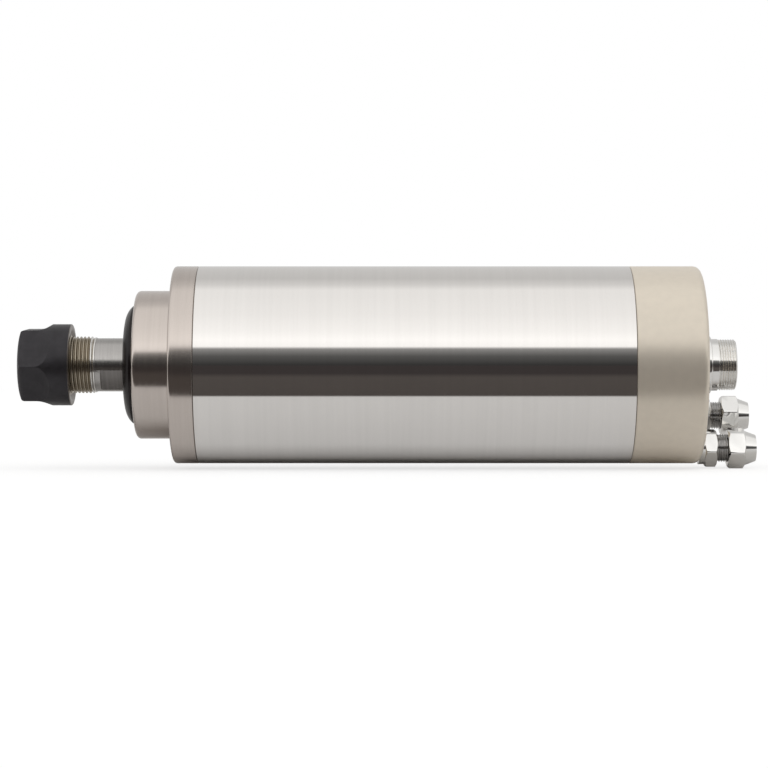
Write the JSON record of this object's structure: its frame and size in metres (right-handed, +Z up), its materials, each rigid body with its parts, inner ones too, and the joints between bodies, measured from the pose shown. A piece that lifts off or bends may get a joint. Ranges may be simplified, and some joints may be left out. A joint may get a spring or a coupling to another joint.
{
  "type": "motor spindle",
  "caption": "Water-cooled motor spindle: polished steel barrel, stepped nose with flinger and collet nut, cast rear cap with power connector and two hose fittings.",
  "frame": {"origin": "on the spindle's axis, halfway along the 213 mm barrel", "axes": "+X along the axis from the collet nose to the rear connector, +Z up, -Y towards the picture's viewer"},
  "size_m": [0.299, 0.08, 0.0822],
  "materials": {
    "ball_steel": "polished balls",
    "bearing_steel": "ground bearing steel",
    "cage_plastic": "fabric-filled phenolic",
    "cap_alloy": "matte champagne die-cast aluminium",
    "collet_steel": "ground spring steel",
    "connector_chrome": "nickel-chrome plated",
    "fitting_chrome": "nickel-plated brass",
    "flinger_black": "black anodised aluminium",
    "inner_alloy": "machined aluminium",
    "insert_plastic": "black moulded plastic",
    "lamination_steel": "laminated electrical steel",
    "nose_steel": "polished nickel-plated steel",
    "nut_black": "satin black oxide steel",
    "pin_brass": "plated contact pins",
    "screw_steel": "black oxide steel",
    "seal_rubber": "nitrile rubber",
    "shaft_steel": "ground steel",
    "tube_steel": "mirror-polished stainless steel",
    "winding_copper": "enamelled copper"
  },
  "bodies": {
    "housing": {"front_housing": "nose_steel", "outer_tube": "tube_steel", "water_jacket": "inner_alloy", "front_jacket_seal": "seal_rubber", "rear_jacket_seal": "seal_rubber", "rear_cap": "cap_alloy", "rear_bearing_housing": "inner_alloy", "front_screws": "screw_steel", "rear_screws": "screw_steel", "stator_core": "lamination_steel", "stator_winding": "winding_copper", "front_bearing_outer_rings": "bearing_steel", "rear_bearing_outer_rings": "bearing_steel", "front_retainer": "inner_alloy", "retainer_screws": "screw_steel", "preload_ring": "bearing_steel", "preload_springs": "bearing_steel", "bearing_cover": "inner_alloy", "cover_screws": "screw_steel", "connector_shell": "connector_chrome", "connector_insert": "insert_plastic", "connector_pins": "pin_brass", "connector_nut": "connector_chrome", "lower_fitting_body": "fitting_chrome", "lower_port_seal": "seal_rubber", "upper_fitting_body": "fitting_chrome", "upper_port_seal": "seal_rubber"},
    "rotor": {"shaft": "shaft_steel", "flinger": "flinger_black", "rotor_core": "lamination_steel", "rotor_cage": "inner_alloy", "front_bearing_inner_rings": "bearing_steel", "rear_bearing_inner_rings": "bearing_steel", "front_locknut": "bearing_steel", "rear_locknut": "bearing_steel"},
    "front_ball_train": {"front_bearing_balls": "ball_steel", "front_bearing_cages": "cage_plastic"},
    "rear_ball_train": {"rear_bearing_balls": "ball_steel", "rear_bearing_cages": "cage_plastic"},
    "collet": {"collet": "collet_steel"},
    "collet_nut": {"collet_nut": "nut_black"},
    "lower_ferrule": {"lower_ferrule": "pin_brass"},
    "lower_fitting_nut": {"lower_fitting_nut": "fitting_chrome"},
    "upper_ferrule": {"upper_ferrule": "pin_brass"},
    "upper_fitting_nut": {"upper_fitting_nut": "fitting_chrome"}
  },
  "joints": [
    {"name": "spindle_spin", "type": "hinge", "parent": "housing", "child": "rotor", "pos_m": [0, 0, 0], "axis": [1, 0, 0], "continuous": true},
    {"name": "front_train_spin", "type": "hinge", "parent": "housing", "child": "front_ball_train", "pos_m": [-0.107, 0, 0], "axis": [1, 0, 0], "continuous": true},
    {"name": "rear_train_spin", "type": "hinge", "parent": "housing", "child": "rear_ball_train", "pos_m": [0.059, 0, 0], "axis": [1, 0, 0], "continuous": true},
    {"name": "collet_travel", "type": "slide", "parent": "rotor", "child": "collet", "axis": [-1, 0, 0], "range_m": [0, 0.015]},
    {"name": "nut_turn", "type": "hinge", "parent": "collet", "child": "collet_nut", "pos_m": [-0.159, 0, 0], "axis": [-1, 0, 0], "range_deg": [0, 3600]},
    {"name": "lower_ferrule_travel", "type": "slide", "parent": "housing", "child": "lower_ferrule", "axis": [1, 0, 0], "range_m": [0, 0.004]},
    {"name": "lower_fitting_nut_turn", "type": "hinge", "parent": "lower_ferrule", "child": "lower_fitting_nut", "pos_m": [0.125, 0.00417, -0.03395], "axis": [1, 0, 0], "range_deg": [0, 1440]},
    {"name": "upper_ferrule_travel", "type": "slide", "parent": "housing", "child": "upper_ferrule", "axis": [1, 0, 0], "range_m": [0, 0.004]},
    {"name": "upper_fitting_nut_turn", "type": "hinge", "parent": "upper_ferrule", "child": "upper_fitting_nut", "pos_m": [0.125, 0.02695, -0.02106], "axis": [1, 0, 0], "range_deg": [0, 1440]}
  ],
  "couplings": [
    {"joint": "front_train_spin", "follows": "spindle_spin", "ratio": 0.4148},
    {"joint": "rear_train_spin", "follows": "spindle_spin", "ratio": 0.4021},
    {"joint": "collet_travel", "follows": "nut_turn", "m_per_rad": 0.00023873},
    {"joint": "lower_ferrule_travel", "follows": "lower_fitting_nut_turn", "m_per_rad": 0.00015915},
    {"joint": "upper_ferrule_travel", "follows": "upper_fitting_nut_turn", "m_per_rad": 0.00015915}
  ]
}
